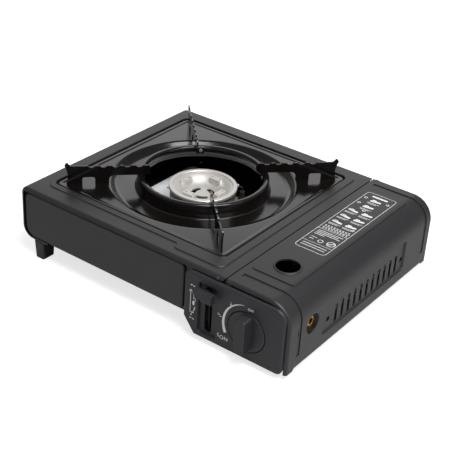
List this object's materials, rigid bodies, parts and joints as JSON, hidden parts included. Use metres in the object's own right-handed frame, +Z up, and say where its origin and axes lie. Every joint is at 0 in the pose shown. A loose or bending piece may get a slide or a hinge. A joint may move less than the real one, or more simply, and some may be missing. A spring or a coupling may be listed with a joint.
{
  "type": "butane cassette stove",
  "caption": "Flat portable gas stove with a square drip tray, ring burner, wavy pot supports, a hinged cartridge lid, a lock lever and a control knob.",
  "frame": {"origin": "middle of the footprint on the surface that the stove stands on", "axes": "+X to the right towards the cartridge lid, +Y to the back, +Z up"},
  "size_m": [0.346, 0.291, 0.1051],
  "materials": {
    "painted_case": "satin metallic paint",
    "zinc_sheet": "galvanised",
    "black_enamel": "glossy enamel",
    "steel_parts": "plated",
    "burner_cast": "cast",
    "black_plastic": "fine grained",
    "foot_rubber": "matt",
    "brass": "turned",
    "zinc_cast": "die cast",
    "ceramic": "glazed"
  },
  "bodies": {
    "case": {"body_shell": "painted_case", "front_panel": "painted_case", "back_panel": "painted_case", "base_plate": "zinc_sheet", "heat_shield": "zinc_sheet", "reflector_plate": "zinc_sheet", "burner_stand": "zinc_sheet", "valve_bracket": "zinc_sheet", "cartridge_cradle": "zinc_sheet", "hinge_pins": "steel_parts", "panel_screws": "steel_parts", "flange_rivet": "steel_parts", "lever_pivot": "steel_parts", "burner_cap": "burner_cast", "flame_port_ring": "burner_cast", "burner_bowl": "burner_cast", "mixing_tube": "burner_cast", "heat_plate": "burner_cast", "jet_holder": "burner_cast", "control_panel": "black_plastic", "left_leg_front": "black_plastic", "left_leg_rear": "black_plastic", "piezo_igniter": "black_plastic", "right_foot_front": "foot_rubber", "right_foot_rear": "foot_rubber", "seat_seal": "foot_rubber", "ignition_lead": "foot_rubber", "hose_inlet": "brass", "gas_jet": "brass", "gas_pipe": "brass", "valve_body": "zinc_cast", "cartridge_seat": "zinc_cast", "electrode": "ceramic"},
    "tray": {"drip_tray": "black_enamel", "pot_support_1": "black_enamel", "pot_support_2": "black_enamel", "pot_support_3": "black_enamel", "pot_support_4": "black_enamel", "support_rivets": "steel_parts"},
    "lid": {"cartridge_lid": "painted_case"},
    "knob": {"control_knob": "black_plastic", "knob_spindle": "steel_parts"},
    "lever": {"lock_lever": "steel_parts", "lever_knob": "black_plastic"},
    "carriage": {"cartridge_carriage": "zinc_sheet"}
  },
  "joints": [
    {"name": "lid_hinge", "type": "hinge", "parent": "case", "child": "lid", "pos_m": [0.102, 0, 0.078], "axis": [0, -1, 0], "range_deg": [0, 95]},
    {"name": "knob_turn", "type": "hinge", "parent": "case", "child": "knob", "pos_m": [0.1278, -0.1295, 0.0376], "axis": [0, -1, 0], "range_deg": [0, 125]},
    {"name": "lock_lever_swing", "type": "hinge", "parent": "case", "child": "lever", "pos_m": [0.0803, -0.0895, 0.042], "axis": [1, 0, 0], "range_deg": [0, 43]},
    {"name": "carriage_slide", "type": "slide", "parent": "case", "child": "carriage", "axis": [0, -1, 0], "range_m": [0, 0.0086]},
    {"name": "tray_lift", "type": "slide", "parent": "case", "child": "tray", "axis": [0, 0, 1], "range_m": [0, 0.08]}
  ],
  "couplings": [
    {"joint": "carriage_slide", "follows": "lock_lever_swing", "m_per_rad": 0.011232}
  ]
}
